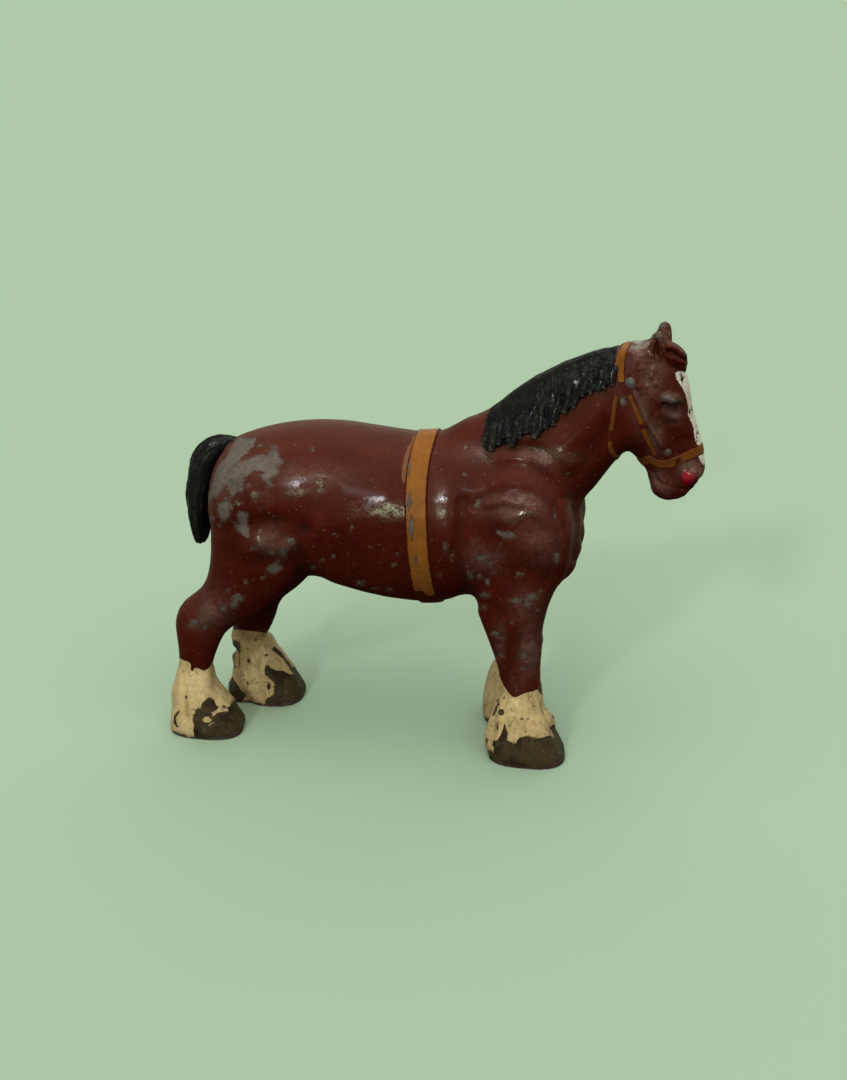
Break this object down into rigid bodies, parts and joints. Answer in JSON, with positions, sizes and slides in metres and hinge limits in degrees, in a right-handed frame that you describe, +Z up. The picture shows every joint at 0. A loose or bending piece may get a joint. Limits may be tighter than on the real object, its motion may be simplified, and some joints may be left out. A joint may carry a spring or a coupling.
{
  "type": "toy horse",
  "caption": "Hollow-cast lead toy of a standing heavy farm horse, with mane, docked tail, bridle, belly band, feathered legs and flat hooves.",
  "frame": {"origin": "on the ground under the middle of the horse's box", "axes": "+X the way the horse faces, +Y to its left, +Z up; it stands on its hooves at Z = 0"},
  "size_m": [0.0914, 0.0266, 0.075],
  "materials": {
    "coat_paint": "glossy chestnut enamel over cast lead, worn and chipped",
    "hair_paint": "glossy black enamel over cast lead",
    "harness_paint": "tan enamel over cast lead, rubbed at its edges",
    "feather_paint": "aged cream enamel over cast lead, cracked and chipped",
    "hoof_paint": "dark brown enamel over cast lead, worn at the rim",
    "bare_lead": "bare grey lead where the paint has gone"
  },
  "bodies": {
    "root": {"body_casting": "coat_paint", "mane": "hair_paint", "tail": "hair_paint", "forelock": "coat_paint", "surcingle": "harness_paint", "headpiece": "harness_paint", "throat_lash": "harness_paint", "noseband": "harness_paint", "cheek_strap_right": "harness_paint", "cheek_strap_left": "harness_paint", "rosette_right": "bare_lead", "rosette_left": "bare_lead", "bit_ring_right": "bare_lead", "bit_ring_left": "bare_lead", "feather_fore_right": "feather_paint", "feather_fore_left": "feather_paint", "feather_hind_right": "feather_paint", "feather_hind_left": "feather_paint", "hoof_fore_right": "hoof_paint", "hoof_fore_left": "hoof_paint", "hoof_hind_right": "hoof_paint", "hoof_hind_left": "hoof_paint"}
  },
  "joints": []
}
